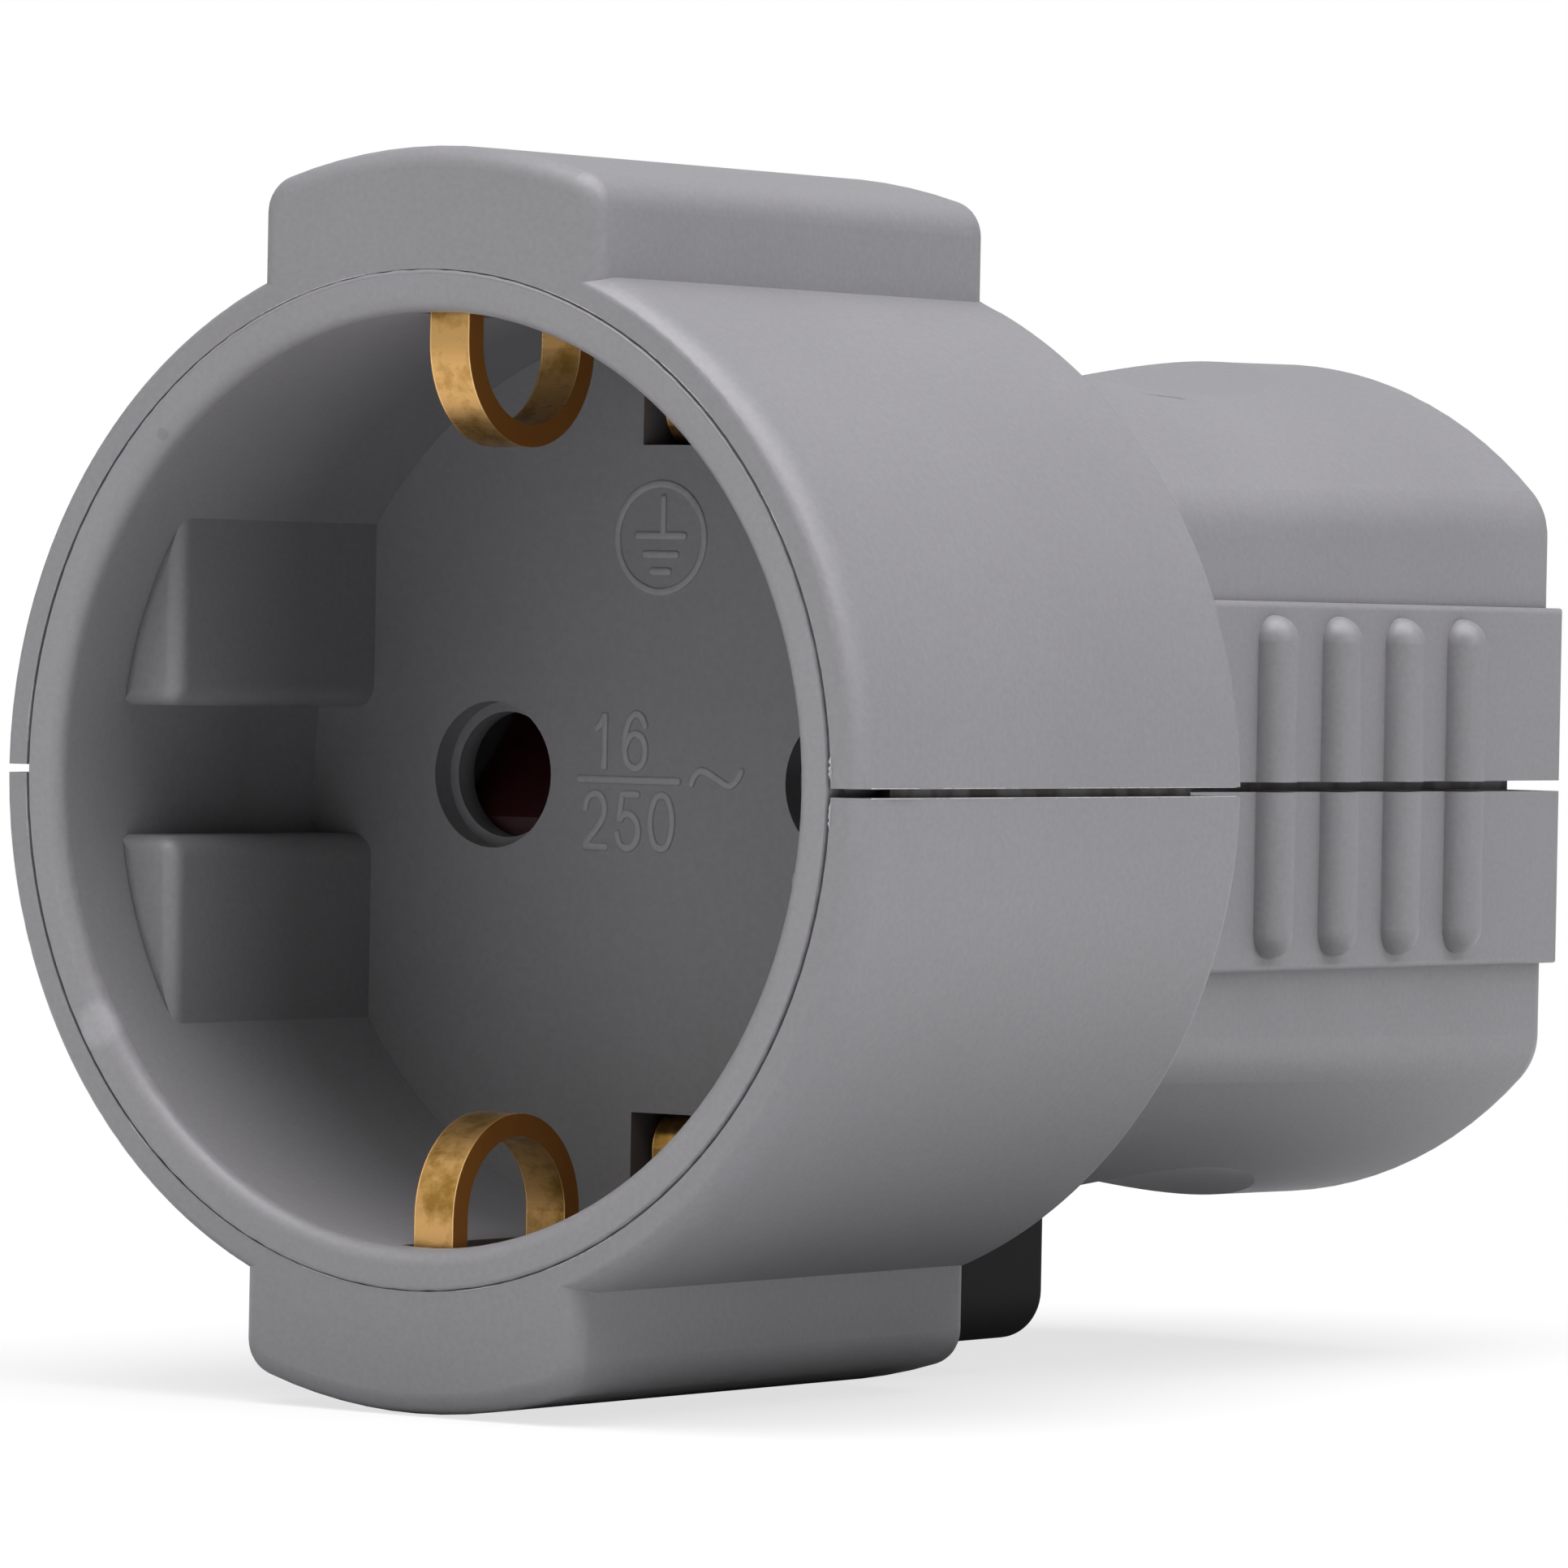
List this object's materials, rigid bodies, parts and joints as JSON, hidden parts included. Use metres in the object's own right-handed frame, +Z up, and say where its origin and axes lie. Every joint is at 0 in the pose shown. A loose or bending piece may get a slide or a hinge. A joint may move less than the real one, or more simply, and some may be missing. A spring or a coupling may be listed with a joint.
{
  "type": "schuko cable coupler",
  "caption": "Two-pole cable coupler with side earth clips, a shuttered round recess, a clamshell housing with lugs and a ribbed grip.",
  "frame": {"origin": "under the middle of the length, at the level of the lower lug's crest", "axes": "+Z up, +Y along the socket axis from the socket face to the cord end, +X to the side of the right pin hole seen from the socket face"},
  "size_m": [0.0454, 0.07, 0.0528],
  "materials": {
    "housing_plastic": "satin",
    "insert_plastic": "satin",
    "shutter_plastic": "moulded",
    "carrier_plastic": "moulded",
    "contact_brass": "machined",
    "strip_brass": "rolled strip",
    "spring_steel": "drawn wire",
    "zinc_steel": "zinc plated",
    "black_rubber": "moulded",
    "black_plastic": "moulded"
  },
  "bodies": {
    "coupler": {"upper_housing": "housing_plastic", "lower_housing": "housing_plastic", "socket_insert": "insert_plastic", "shutter_spring": "spring_steel", "contact_carrier": "carrier_plastic", "contact_left": "contact_brass", "contact_right": "contact_brass", "terminal_screw_left": "zinc_steel", "terminal_screw_right": "zinc_steel", "earth_clip_top": "strip_brass", "earth_clip_bottom": "strip_brass", "earth_bar": "strip_brass", "earth_terminal": "contact_brass", "earth_screw": "zinc_steel", "cord_clamp": "carrier_plastic", "clamp_screw_left": "zinc_steel", "clamp_screw_right": "zinc_steel", "cord_grommet": "black_rubber", "housing_screw": "zinc_steel", "housing_nut": "contact_brass", "rear_block": "black_plastic"},
    "shutter": {"shutter": "shutter_plastic"}
  },
  "joints": [
    {"name": "shutter_slide", "type": "slide", "parent": "coupler", "child": "shutter", "axis": [0, 0, -1], "range_m": [0, 0.0059], "stiffness_N_per_m": 60, "springref_m": -0.004, "deforming": ["shutter_spring"]}
  ]
}
